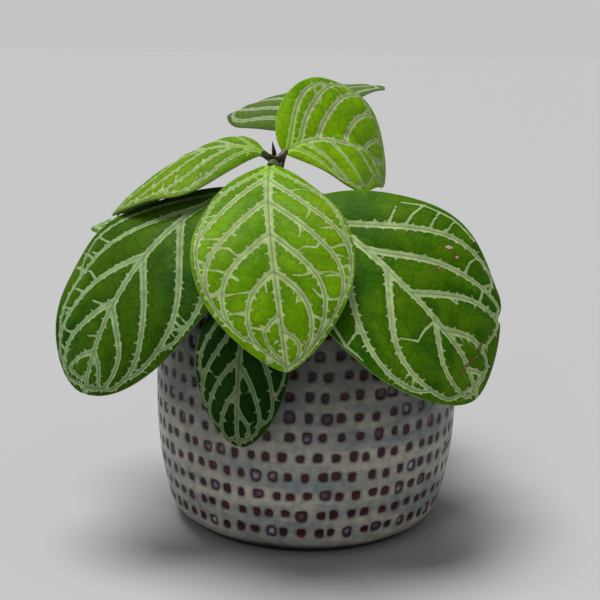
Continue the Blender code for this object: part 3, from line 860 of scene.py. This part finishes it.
def stalk_of(leaf, stem, node_height):
    """The stalk, on a smooth curve from the stem's side to the blade's base."""
    out = level_direction(leaf.get("stalk_heading", leaf["heading"]))
    start = stem_point(stem, node_height) + out * (stem_radius(stem, node_height) - STALK_SUNK_IN)
    end = Vector(leaf["base"]) / 1000
    climb = float(blade_climb(leaf, 0.0))
    along = level_direction(leaf["heading"]) * math.cos(climb) + Vector((0, 0, math.sin(climb)))
    rising = out + Vector((0, 0, leaf["stalk_rise"]))
    pull = (end - start).length * 0.4
    bpy.ops.curve.primitive_bezier_curve_add()
    stalk = bpy.context.object
    curve = stalk.data
    shapes = ((start, rising, 1.12), (end + along * STALK_OVERLAP, along, 0.92))
    for point, (place, lean, width) in zip(curve.splines[0].bezier_points, shapes):
        point.handle_left_type = "FREE"
        point.handle_right_type = "FREE"
        point.co = place
        point.handle_right = place + lean.normalized() * pull
        point.handle_left = place - lean.normalized() * pull
        point.radius = width
    curve.resolution_u = 18
    curve.bevel_depth = STALK_RADIUS / 1000
    curve.bevel_resolution = 4
    curve.use_fill_caps = True
    bpy.ops.object.convert(target="MESH")
    stalk = bpy.context.object
    keep(stalk, "from_node", [(vertex.co - start).length * 1000 for vertex in stalk.data.vertices])
    return stalk


def cell_edges(tree, place, scale):
    """The distance to the edges of a net of uneven cells."""
    cells = node(tree, "ShaderNodeTexVoronoi", feature="DISTANCE_TO_EDGE", Vector=place, Scale=scale)
    return cells.outputs["Distance"]


def quilted_green(tree, place, light, dark):
    """Patchy green, darker in the creases between its pillows, partly sunken veinlets and partly painted
    shade, and pale along the finest veins.
    """
    green = mixed(tree, ramped(tree, mottle(tree, place, 72, 4), 0.38, 0.62), light, dark)
    yellowed = ramped(tree, mottle(tree, place, 34, 2), 0.50, 0.66, 0.0, 0.45)
    green = mixed(tree, yellowed, green, (1.5 * light[0], 1.1 * light[1], light[2]))
    bent = node(tree, "ShaderNodeTexNoise", Vector=place, Scale=240.0, Detail=2.0).outputs["Color"]
    bent = node(tree, "ShaderNodeVectorMath", operation="SCALE", In0=bent, Scale=0.003).outputs[0]
    bent = node(tree, "ShaderNodeVectorMath", operation="ADD", In0=place, In1=bent).outputs[0]
    crease = cell_edges(tree, bent, 190.0)
    net = cell_edges(tree, bent, 900.0)
    # Darker along the creases: partly the dark green of sunken veinlets, partly painted shade.
    green = mixed(tree, ramped(tree, crease, 0.0, 0.09, 0.34, 0.0), green, shade(dark, 0.6))
    green = mixed(tree, ramped(tree, net, 0.0, 0.16, 0.16, 0.0), green, shade(light, 1.6))
    freckles = ramped(tree, mottle(tree, place, 2600, 2), 0.56, 0.74, 0.0, 0.22)
    return mixed(tree, freckles, green, shade(dark, 0.5)), crease, net


def vein_cream(tree, place, light, pale, greened):
    """Chalky cream, greener near the stalk, with the grey groove in its middle."""
    cream = mixed(tree, ramped(tree, mottle(tree, place, 420, 3), 0.34, 0.68), pale, shade(pale, 0.72))
    near_stalk = ramped(tree, kept(tree, "from_base"), 2.0, greened, 0.75, 0.0)
    cream = mixed(tree, near_stalk, cream, shade(light, 1.6))
    return mixed(tree, ramped(tree, kept(tree, "groove"), 0.08, 0.32, 0.85, 0.0), cream, shade(pale, 0.42))


def dried_up(tree, skin, jagged):
    """Scars with a brown edge round a pale dry middle."""
    scar = sum_of(tree, kept(tree, "scar"), times(tree, jagged, 3.0))
    skin = mixed(tree, ramped(tree, scar, 0.10, 0.50, 0.85, 0.0), skin, (0.105, 0.080, 0.012))
    return mixed(tree, ramped(tree, scar, -0.42, -0.18, 0.85, 0.0), skin, (0.520, 0.500, 0.330))


def blade_skin(name, light, dark, pale, greened=14.0):
    """Green between pale bands, by the distances kept on the blade's points."""
    made, tree, shader, place = finish(name, 0.52, 0.05)
    band = kept(tree, "band")
    green, crease, net = quilted_green(tree, place, light, dark)
    # Darker green beside the veins, where the quilted cells dip down to them: painted shade.
    green = mixed(tree, ramped(tree, band, 0.0, 0.9, 0.32, 0.0), green, shade(dark, 0.55))
    jagged = wavering(tree, place, 1100, 2, 0.34)
    white = ramped(tree, sum_of(tree, band, jagged), -0.10, 0.10, 1.0, 0.0)
    skin = mixed(tree, white, green, vein_cream(tree, place, light, pale, greened))
    skin = mixed(tree, ramped(tree, kept(tree, "rim"), 0.05, 0.32, 0.60, 0.0), skin, shade(pale, 0.62))
    satin = ramped(tree, mottle(tree, place, 300, 3), 0.3, 0.7, 0.46, 0.60)
    tuned(
        tree, shader, Roughness=sum_of(tree, satin, times(tree, white, 0.12)),
        Subsurface_Weight=0.10, Subsurface_Radius=(0.6, 1.0, 0.2), Subsurface_Scale=0.0015,
    )
    relief = sum_of(tree, times(tree, net, 0.5), mottle(tree, place, 700, 3))
    relief = sum_of(tree, relief, ramped(tree, crease, 0.0, 0.30, 0.0, 0.9))
    coated(tree, shader, dried_up(tree, skin, jagged), relief, 0.18, 0.0005)
    return made


def underside_skin(name, green, vein):
    """The lower face is paler and matt, with the veins only faintly lighter."""
    made, tree, shader, place = finish(name, 0.62, 0.2)
    ridge = kept(tree, "groove")
    net = cell_edges(tree, place, 700.0)
    skin = mixed(tree, ramped(tree, mottle(tree, place, 110, 3), 0.35, 0.65), green, shade(green, 0.78))
    skin = mixed(tree, ramped(tree, kept(tree, "band"), -0.25, 0.35, 0.40, 0.0), skin, vein)
    skin = mixed(tree, ramped(tree, ridge, 0.15, 0.75, 0.70, 0.0), skin, shade(vein, 1.15))
    skin = mixed(tree, ramped(tree, net, 0.0, 0.12, 0.25, 0.0), skin, vein)
    raised = sum_of(tree, ramped(tree, ridge, 0.2, 1.2, 1.5, 0.0), net, "SUBTRACT")
    coated(tree, shader, skin, raised, 0.35, 0.0005)
    return made


def stalk_skin(name, green, brown, browned_from, browned_to):
    """Pale green, darkening to brown towards the stem."""
    made, tree, shader, place = finish(name, 0.5, 0.4)
    patches = ramped(tree, mottle(tree, place, 700, 2), browned_from, browned_to)
    at_stem = ramped(tree, kept(tree, "from_node"), 0.8, 2.6, 1.0, 0.0)
    skin = mixed(tree, at_stem, mixed(tree, patches, green, brown), brown)
    coated(tree, shader, skin, mottle(tree, place, 1500, 2), 0.25, 0.0003)
    return made


def hang_leaf(name, solid, stem, node_height, age, skin, **form):
    """One leaf: its blade with an upper and a lower face, joined to its stalk."""
    slot, underside, stalk_finish = age
    leaf = {**BLADE_HABIT, **form}
    blade = bend_blade(name, leaf)
    blade.data.materials.append(skin)
    blade.data.materials.append(underside)
    stalk = stalk_of(leaf, stem, node_height)
    stalk.data.materials.clear()
    stalk.data.materials.append(stalk_finish)
    bpy.ops.object.shade_smooth()
    blade.select_set(True)
    bpy.context.view_layer.objects.active = blade
    bpy.ops.object.join()
    settle(blade, [], slot, solid)


fresh_skin = blade_skin("fresh_blade", (0.152, 0.325, 0.001), (0.088, 0.225, 0.001), (0.41, 0.54, 0.21))
young_underside = underside_skin("young_underside", (0.150, 0.250, 0.070), (0.270, 0.360, 0.160))
dark_stalk = stalk_skin("dark_stalk", (0.100, 0.125, 0.022), (0.040, 0.020, 0.011), 0.46, 0.70)
young = ("young_leaf", young_underside, dark_stalk)
hang_leaf(
    "front_leaf_blade", "leaf_top_front", MAIN_STEM, 105, young, fresh_skin,
    base=(-11.3, -12.8, 106.6), heading=-92, climb=-13, turn=23, droop=69, curl=-14, length=70, width=43.3,
    roll=1.5, twist=7, fold=5, camber=18.5, peak=0.54, base_power=0.68, tip_power=0.71, phase=0.1,
    cell=0.38, sway=((0, 0), (0.5, -0.4), (1, 0)), midrib=1.5, lateral=0.86, quilt=0.30,
    links=0.12, rungs=0.35, join=1.0, web=12, seed=3,
    veinlets=(((0.33, 0.58), (0.36, 0.555), (0.395, 0.48)), ((0.41, 0.38), (0.45, 0.375), (0.48, 0.345)),
              ((0.495, 0.585), (0.53, 0.53), (0.525, 0.38), (0.54, 0.28)), ((0.435, 0.80), (0.445, 0.62)),
              ((0.505, 0.90), (0.52, 0.80), (0.525, 0.73)), ((0.57, 0.38), (0.565, 0.27)),
              ((0.60, 0.51), (0.64, 0.41), (0.645, 0.31), (0.64, 0.22)), ((0.61, 0.95), (0.615, 0.80)),
              ((0.655, 0.82), (0.65, 0.60)), ((0.745, 0.92), (0.745, 0.75), (0.73, 0.58), (0.70, 0.47)),
              ((0.71, 0.31), (0.725, 0.27), (0.75, 0.25)), ((0.80, 0.60), (0.82, 0.74), (0.82, 0.86)),
              ((0.33, -0.24), (0.375, -0.27)), ((0.42, -0.47), (0.45, -0.48), (0.46, -0.42)),
              ((0.465, -0.58), (0.46, -0.85)), ((0.70, -0.72), (0.69, -0.94)),
              ((0.83, -0.38), (0.82, -0.55)),
              ((0.55, -0.34), (0.545, -0.44), (0.515, -0.52), (0.505, -0.64), (0.50, -0.78)),
              ((0.645, -0.47), (0.615, -0.57), (0.60, -0.70), (0.595, -0.86)),
              ((0.62, -0.86), (0.64, -0.97)), ((0.76, -0.60), (0.77, -0.80)),
              ((0.665, -0.10), (0.70, -0.14)),
              ((0.56, -0.86), (0.54, -0.96))),
    left=((0.03, 0.93, 0.27, 1.9), (0.14, 0.95, 0.60, 1.9), (0.29, 0.90, 0.76, 1.9),
          (0.455, 0.79, 0.92, 1.9), (0.62, 0.66, 0.96, 1.9), (0.85, 0.52, 0.955, 1.9)),
    right=((0.04, 0.92, 0.30, 1.9), (0.12, 0.93, 0.52, 1.9), (0.28, 0.90, 0.71, 1.9),
           (0.455, 0.85, 0.83, 1.9), (0.615, 0.62, 0.89, 1.9), (0.79, 0.38, 0.88, 1.9)),
)


# The upper left leaf is as young as the front one and a little greener. It comes out of the stem's left
# side and arches away and down, so that it is seen almost along its surface.
green_skin = blade_skin("green_blade", (0.132, 0.275, 0.002), (0.078, 0.200, 0.001), (0.40, 0.52, 0.20))
hang_leaf(
    "upper_left_leaf_blade", "leaf_top_left", MAIN_STEM, 107, young, green_skin,
    base=(-13, -4.9, 108.6), heading=171, climb=9, spring=20, turn=-16, droop=81, curl=-26, length=55,
    width=49, roll=-24, twist=25, fold=-2, camber=24, peak=0.47, base_power=1.04, tip_power=0.59,
    wave=0.3, phase=0.6, left_reach=0.9, stalk_heading=180, midrib=1.1, lateral=0.66, quilt=0.26,
    links=0.7, seed=5,
)


# The upper right leaf is the palest. It stands up opposite the left one and folds over backwards,
# so that its whole upper side shows, with a crooked midrib and wide-spaced veins on its far half.
light_skin = blade_skin(
    "light_green_blade", (0.198, 0.400, 0.002), (0.122, 0.300, 0.002), (0.43, 0.55, 0.22),
)
hang_leaf(
    "upper_right_leaf_blade", "leaf_top_right", MAIN_STEM, 107, young, light_skin,
    base=(-8, 1.6, 108.4), heading=32, climb=38, turn=10, droop=112, length=47.5, width=43,
    roll=48, twist=9, fold=10, camber=13, peak=0.49, base_power=0.7, tip_power=0.71, phase=0.3,
    left_reach=0.95, stalk_heading=0, midrib=1.2, lateral=0.84, quilt=0.26, links=0.2, rungs=0.5, seed=8,
    sway=((0, 0), (0.2, -1.3), (0.4, -3.2), (0.5, -3.2), (0.6, -2.4), (0.7, 0), (0.85, 0.8), (1, 0)),
    left=((0.03, 0.90, 0.42, 2.0), (0.115, 0.97, 0.54, 1.5), (0.25, 0.96, 0.62, 1.2),
          (0.465, 0.96, 0.74, 1.1), (0.67, 0.80, 0.83, 1.05), (0.80, 0.50, 0.93, 1.2)),
    right=((0.06, 0.90, 0.26, 1.8), (0.155, 0.93, 0.40, 1.8), (0.335, 0.82, 0.66, 2.2),
           (0.565, 0.62, 0.86, 1.5), (0.75, 0.45, 0.92, 1.3)),
)


# The middle left leaf is older and longer, with a stiffer blade and a duller lower face.
# Its green is painted darker than the other old leaves' as shade, for it hangs from the next pair down and
# the upper left leaf throws its shadow over it.
OLD_VEINS_GREENED = 26.0
old_underside = underside_skin("old_underside", (0.105, 0.175, 0.060), (0.210, 0.280, 0.130))
old = ("old_leaf", old_underside, dark_stalk)
painted_shade_dark_skin = blade_skin(
    "painted_shade_dark_green_blade", (0.050, 0.130, 0.001), (0.013, 0.064, 0.001), (0.31, 0.43, 0.19), OLD_VEINS_GREENED,
)
hang_leaf(
    "middle_left_leaf_blade", "leaf_middle_left", MAIN_STEM, 97, old, painted_shade_dark_skin,
    base=(-18.2, -6.5, 99.2), heading=219, climb=-8, droop=74, curl=-3, length=80, width=52,
    roll=-14, twist=-4, fold=-1, camber=21.5, peak=0.51, base_power=0.79, tip_power=0.44, phase=0.4,
    midrib=1.5, lateral=0.98, quilt=0.42, links=0.15, rungs=0.3, join=0.45, seed=13,
    veinlets=(((0.55, -0.68), (0.55, -0.96)), ((0.615, -0.42), (0.605, -0.60), (0.61, -0.78)),
              ((0.675, -0.53), (0.68, -0.82)), ((0.745, -0.65), (0.75, -0.88)),
              ((0.49, -0.58), (0.485, -0.92)), ((0.81, -0.45), (0.82, -0.60), (0.815, -0.74)),
              ((0.69, -0.06), (0.695, -0.32)), ((0.80, -0.03), (0.81, -0.18)),
              ((0.88, -0.62), (0.87, -0.84)), ((0.61, -0.82), (0.61, -0.97)),
              ((0.64, 0.76), (0.655, 0.88), (0.64, 0.96)), ((0.68, 0.84), (0.66, 0.90))),
    left=((0.12, 0.94, 0.70, 2.2), (0.295, 0.85, 0.87, 2.3), (0.49, 0.78, 0.96, 1.6),
          (0.69, 0.56, 0.965, 1.7), (0.85, 0.42, 0.975, 1.1)),
    right=((0.05, 0.90, 0.50, 1.6), (0.20, 0.86, 0.80, 1.65), (0.475, 0.88, 0.90, 1.35),
           (0.67, 0.82, 0.965, 1.25), (0.85, 0.60, 0.93, 1.0)),
)


# The middle right leaf is the largest; its bold veins stand far apart on a quilted dark green blade.
# Its midrib is crooked. It has three pale scars edged with brown, a brown streak and a bitten margin.
deep_skin = blade_skin(
    "deep_green_blade", (0.072, 0.178, 0.001), (0.022, 0.098, 0.001), (0.42, 0.55, 0.24), OLD_VEINS_GREENED,
)
hang_leaf(
    "middle_right_leaf_blade", "leaf_middle_right", MAIN_STEM, 93, old, deep_skin,
    base=(-4, -12.5, 95.4), heading=-40, climb=-4, turn=31, droop=83, curl=-19, length=79, width=60,
    roll=31, twist=2.5, fold=8, camber=17, peak=0.56, base_power=0.66, tip_power=0.56, phase=0.9,
    left_reach=0.91, stalk_heading=-60, midrib=1.55, lateral=1.02, quilt=0.42, links=0.12, rungs=0.3,
    join=0.4, seed=17, notch=(0.81, 1.4, 0.9),
    sway=((0, 0), (0.3, -2.9), (0.5, -3), (0.7, -0.4), (0.85, 2.3), (1, 1)),
    veinlets=(((0.69, 0.0), (0.695, -0.22), (0.713, -0.38), (0.67, -0.50)),
              ((0.80, -0.78), (0.83, -0.87), (0.85, -0.84)), ((0.31, 0.33), (0.285, 0.41)),
              ((0.345, 0.42), (0.315, 0.60), (0.30, 0.74)),
              ((0.385, 0.53), (0.36, 0.72), (0.36, 0.92)), ((0.43, 0.62), (0.42, 0.80), (0.41, 0.94)),
              ((0.475, 0.70), (0.465, 0.94)), ((0.55, 0.97), (0.46, 0.95), (0.36, 0.91), (0.30, 0.83)),
              ((0.64, 0.36), (0.655, 0.30), (0.685, 0.33)), ((0.625, 0.60), (0.60, 0.75), (0.60, 0.90)),
              ((0.715, 0.68), (0.69, 0.80), (0.69, 0.92)),
              ((0.55, -0.74), (0.57, -0.86), (0.585, -0.96)),
              ((0.50, -0.93), (0.58, -0.98), (0.66, -0.97))),
    scars=((((0.515, 0.64), (0.525, 0.68)), 0.7), (((0.558, 0.64), (0.562, 0.67)), 0.6),
           (((0.55, 0.38), (0.553, 0.42)), 0.45),
           (((0.845, 0.45), (0.868, 0.32), (0.880, 0.05), (0.886, -0.22)), 0.24)),
    left=((0.17, 0.97, 0.68, 1.5), (0.34, 0.97, 0.78, 1.0), (0.565, 0.93, 0.82, 1.05),
          (0.735, 0.62, 0.93, 1.2), (0.90, 0.50, 0.95, 1.2)),
    right=((0.15, 0.92, 0.84, 1.7), (0.455, 0.80, 0.94, 2.0), (0.69, 0.47, 0.97, 1.7)),
)


# The back leaf grows opposite the front one and rises behind the others on a long stalk.
# Its blade is a duller green, with broad pale veins.
dull_skin = blade_skin("dull_green_blade", (0.100, 0.180, 0.030), (0.060, 0.125, 0.020), (0.33, 0.42, 0.22))
hang_leaf(
    "back_leaf_blade", "leaf_top_back", MAIN_STEM, 101.5, old, dull_skin,
    base=(-5.8, 23, 113), heading=83, climb=39, turn=3, droop=74, curl=-12, length=61, width=54,
    roll=-19, twist=13, fold=2, camber=20, peak=0.48, base_power=0.83, tip_power=0.67, phase=0.8,
    stalk_heading=75, stalk_rise=2.5, lateral=1.1, links=0.4, seed=19, cell=0.6,
)


# The lowest leaves are the oldest and hang over the rim all round, two pairs on long stalks.
# The front one has thinner veins, and its green and veins are painted almost black as shade: it lies deep
# in the shade of the crown.
painted_shade_skin = blade_skin("painted_shade_blade", (0.009, 0.041, 0.001), (0.003, 0.022, 0.001), (0.19, 0.27, 0.12))
hang_leaf(
    "low_front_leaf_blade", "leaf_low_front", MAIN_STEM, 80, old, painted_shade_skin,
    base=(-13.7, -22.4, 83.1), heading=-96, climb=-17, droop=79, curl=4, length=60, width=25.5,
    roll=3, twist=-2, fold=4, camber=9.5, peak=0.58, base_power=1.0, tip_power=0.59, wave=0.4,
    stalk_heading=-90, sway=((0, 0), (0.6, -1.1), (0.95, -1.1), (1, 0)), midrib=1.2, lateral=0.74,
    quilt=0.2, links=0.1, rungs=0.1, thorn_step=4.5, seed=23,
    left=((0.22, 0.90, 0.66, 1.5), (0.44, 0.88, 0.85, 1.3), (0.63, 0.72, 0.93, 1.3),
          (0.83, 0.58, 0.955, 1.1)),
    right=((0.20, 0.90, 0.62, 1.5), (0.40, 0.95, 0.78, 1.3), (0.60, 0.92, 0.86, 1.3),
           (0.74, 0.80, 0.95, 1.2)),
)
hang_leaf(
    "low_back_leaf_blade", "leaf_low_back", MAIN_STEM, 80, old, deep_skin,
    base=(-9, 18, 82), heading=96, climb=12, turn=-8, droop=92, length=62, width=43, roll=6, fold=8,
    camber=20, peak=0.52, phase=0.2, stalk_heading=95, seed=29, cell=0.6,
)
hang_leaf(
    "low_left_leaf_blade", "leaf_low_left", MAIN_STEM, 84, old, deep_skin,
    base=(-17, 10, 85), heading=160, climb=14, droop=36, length=56, width=36, roll=-6, fold=6,
    camber=20, peak=0.52, tip_power=0.5, phase=0.5, stalk_heading=150, seed=31, cell=0.6,
)
hang_leaf(
    "low_right_leaf_blade", "leaf_low_right", MAIN_STEM, 84, old, deep_skin,
    base=(5, 6, 82.5), heading=2, climb=14, turn=-6, droop=74, length=58, width=37, roll=4, fold=6,
    camber=20, peak=0.52, phase=0.7, stalk_heading=20, seed=37, cell=0.6,
)


# The side shoot carries one open leaf and a pair that is still small, all behind the crown.
# They are made as the others are, on brighter green stalks.
bright_stalk = stalk_skin("bright_stalk", (0.170, 0.220, 0.040), (0.075, 0.045, 0.018), 0.50, 0.70)
young_shoot = ("young_leaf", young_underside, bright_stalk)
open_shoot = ("old_leaf", young_underside, bright_stalk)
hang_leaf(
    "shoot_right_leaf_blade", "shoot_leaf_right", SIDE_SHOOT, 74.5, young_shoot, fresh_skin,
    base=(18.5, 30.5, 77.5), heading=20, climb=50, turn=10, droop=60, length=25, width=15, phase=0.2,
    wave=0.3, midrib=0.8, lateral=0.5, quilt=0.15, seed=41, cell=0.4,
)
hang_leaf(
    "shoot_left_leaf_blade", "shoot_leaf_left", SIDE_SHOOT, 74.5, young_shoot, fresh_skin,
    base=(13, 34, 77.5), heading=140, climb=62, turn=-15, droop=50, length=23, width=14, phase=0.6,
    wave=0.3, midrib=0.8, lateral=0.5, quilt=0.15, seed=43, cell=0.4,
)
hang_leaf(
    "shoot_back_leaf_blade", "shoot_leaf_back", SIDE_SHOOT, 69, open_shoot, green_skin,
    base=(18.5, 37.5, 74), heading=62, climb=14, turn=6, droop=85, length=42, width=30, phase=0.4,
    midrib=1.2, lateral=0.8, seed=47, cell=0.5,
)


# The pot stands on plain pale paper that runs back to the horizon.
# The paper is there for the picture and is no piece of the object.
FLOOR_REACH = 6.0
FLOOR_DROP = 0.0001
bpy.ops.mesh.primitive_plane_add(size=2 * FLOOR_REACH, location=(0, 0, -FLOOR_DROP))
floor = bpy.context.object
floor.name = "pale_floor"
paper, paper_tree, paper_shader, _ = finish("pale_floor_paper", 0.75, 0.25)
tuned(paper_tree, paper_shader, Base_Color=(0.46, 0.46, 0.46, 1))
floor.data.materials.append(paper)


# Soft daylight comes from above and a little behind, in a room whose pale walls fill the shadows.
# A weak second light from the front lifts the near sides of the leaves and the pot.
PALE_WALLS = (0.56, 0.56, 0.565)
GREY_CEILING = (0.21, 0.21, 0.215)


def window_light(name, came_from, softness, strength):
    bpy.ops.object.light_add(type="SUN", location=came_from)
    light = bpy.context.object
    light.name = name
    light.data.angle = math.radians(softness)
    light.data.energy = strength
    light.rotation_euler = (-Vector(came_from)).to_track_quat("-Z", "Y").to_euler()


window_light("daylight_from_above", (-0.55, 0.30, 2.8), softness=34, strength=3.25)
window_light("weak_light_from_the_front", (-0.8, -2.0, 1.0), softness=50, strength=0.22)
world = bpy.data.worlds.new("pale_room")
bpy.context.scene.world = world
world.use_nodes = True
air = world.node_tree
towards = node(air, "ShaderNodeTexCoord").outputs["Generated"]
up = node(air, "ShaderNodeSeparateXYZ", Vector=towards).outputs["Z"]
walls = ramped(air, up, 0.02, 0.30, 1.0, 0.0)
tuned(air, air.nodes["Background"], Color=mixed(air, walls, GREY_CEILING, PALE_WALLS))
bpy.context.scene.view_settings.view_transform = "Standard"


# The camera looks slightly down at the pot from the front, as in the photograph.
# Its place and its turns were fitted to the pot's sides and foot.
CAMERA_PLACE = (0, -0.35, 0.145)
CAMERA_LENS = 72
FILM_WIDTH = 36
LOOKS_DOWN = 12.9
TURNS_LEFT = 0.39
TILTS = 1.0
bpy.ops.object.camera_add(location=CAMERA_PLACE)
camera = bpy.context.object
camera.data.lens = CAMERA_LENS
camera.data.sensor_width = FILM_WIDTH
camera.data.clip_start = 0.01
aim = Matrix.Rotation(math.radians(TURNS_LEFT), 3, "Z")
aim = aim @ Matrix.Rotation(math.radians(90 - LOOKS_DOWN), 3, "X")
aim = aim @ Matrix.Rotation(math.radians(TILTS), 3, "Z")
camera.rotation_euler = aim.to_euler()
bpy.context.scene.camera = camera
